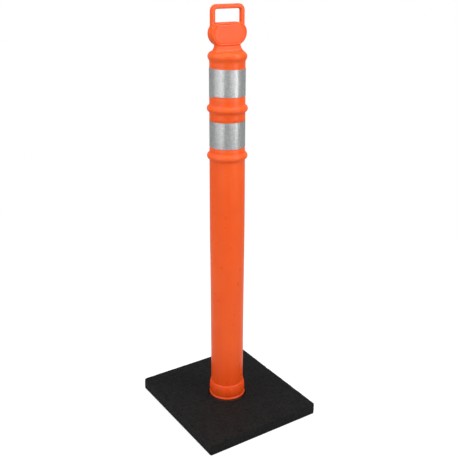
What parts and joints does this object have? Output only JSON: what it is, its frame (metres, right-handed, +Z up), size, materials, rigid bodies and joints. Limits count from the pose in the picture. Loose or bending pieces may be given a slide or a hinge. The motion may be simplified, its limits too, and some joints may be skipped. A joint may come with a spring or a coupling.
{
  "type": "delineator post",
  "caption": "Orange moulded delineator post with a handle loop, reflective bands and a heavy rubber base slab that slides on over the head.",
  "frame": {"origin": "on the floor, on the post's axis, at the centre of the base slab's underside", "axes": "+Z up along the post; X along the base slab's long side; the head's flat faces look along +X and -X, so the handle loop lies in the YZ plane"},
  "size_m": [0.4258, 0.389, 1.245],
  "materials": {
    "post_plastic": "satin moulded polyethylene",
    "reflective_sheeting": "glossy prismatic sheeting",
    "base_rubber": "granular recycled rubber"
  },
  "bodies": {
    "post": {"post_body": "post_plastic", "upper_reflective_band": "reflective_sheeting", "lower_reflective_band": "reflective_sheeting"},
    "base": {"rubber_base": "base_rubber"}
  },
  "joints": [
    {"name": "base_lift_off", "type": "slide", "parent": "post", "child": "base", "axis": [0, 0, 1], "range_m": [0, 1.26]}
  ]
}
